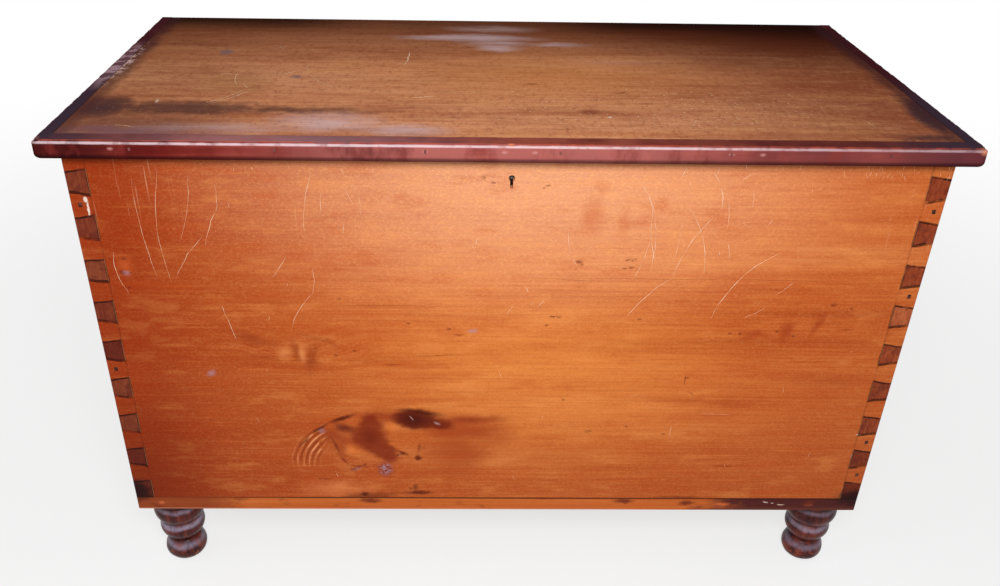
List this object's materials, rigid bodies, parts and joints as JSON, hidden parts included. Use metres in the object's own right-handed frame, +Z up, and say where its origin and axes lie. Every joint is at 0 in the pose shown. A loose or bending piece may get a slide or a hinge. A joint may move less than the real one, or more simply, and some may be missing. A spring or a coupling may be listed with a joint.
{
  "type": "sugar chest",
  "caption": "Low dovetailed wooden chest on turned feet, with a hinged lid, moulded lid edges, a divided inside and an iron lock.",
  "frame": {"origin": "on the floor under the middle of the whole chest, hinge barrels included", "axes": "+X to the chest's right as seen from the front, -Y towards its front, +Z up"},
  "size_m": [1.009, 0.5034, 0.647],
  "materials": {
    "case_front": "satin",
    "case_end": "satin",
    "secondary_wood": "matte",
    "foot_wood": "gloss",
    "lid_wood": "satin",
    "strip_wood": "satin",
    "nail_iron": "matte",
    "hinge_iron": "matte",
    "lock_iron": "satin"
  },
  "bodies": {
    "case": {"front_board": "case_front", "back_board": "secondary_wood", "left_side_board": "case_end", "right_side_board": "case_end", "bottom_board_front": "secondary_wood", "bottom_board_back": "secondary_wood", "bin_divider": "secondary_wood", "foot_wedges": "secondary_wood", "feet": "foot_wood", "bottom_nails": "nail_iron", "corner_nails": "nail_iron", "hinge_left_case_leaf": "hinge_iron", "hinge_left_pin": "hinge_iron", "hinge_right_case_leaf": "hinge_iron", "hinge_right_pin": "hinge_iron", "hinge_case_screws": "hinge_iron", "lock_plate": "lock_iron", "lock_cap": "lock_iron", "lock_key_post": "lock_iron", "lock_bolt_studs": "lock_iron", "lock_spring": "lock_iron", "lock_screws": "lock_iron"},
    "lid": {"lid_board": "lid_wood", "lid_front_strip": "strip_wood", "lid_left_strip": "strip_wood", "lid_right_strip": "strip_wood", "lid_strip_nails": "nail_iron", "hinge_left_lid_leaf": "hinge_iron", "hinge_right_lid_leaf": "hinge_iron", "hinge_lid_screws": "hinge_iron", "lock_strike": "lock_iron", "strike_screws": "lock_iron"},
    "bolt": {"lock_bolt": "lock_iron"}
  },
  "joints": [
    {"name": "lid_hinge", "type": "hinge", "parent": "case", "child": "lid", "pos_m": [0, 0.24775, 0.625], "axis": [-1, 0, 0], "range_deg": [0, 105]},
    {"name": "lock_bolt_slide", "type": "slide", "parent": "case", "child": "bolt", "axis": [1, 0, 0], "range_m": [0, 0.007]}
  ]
}
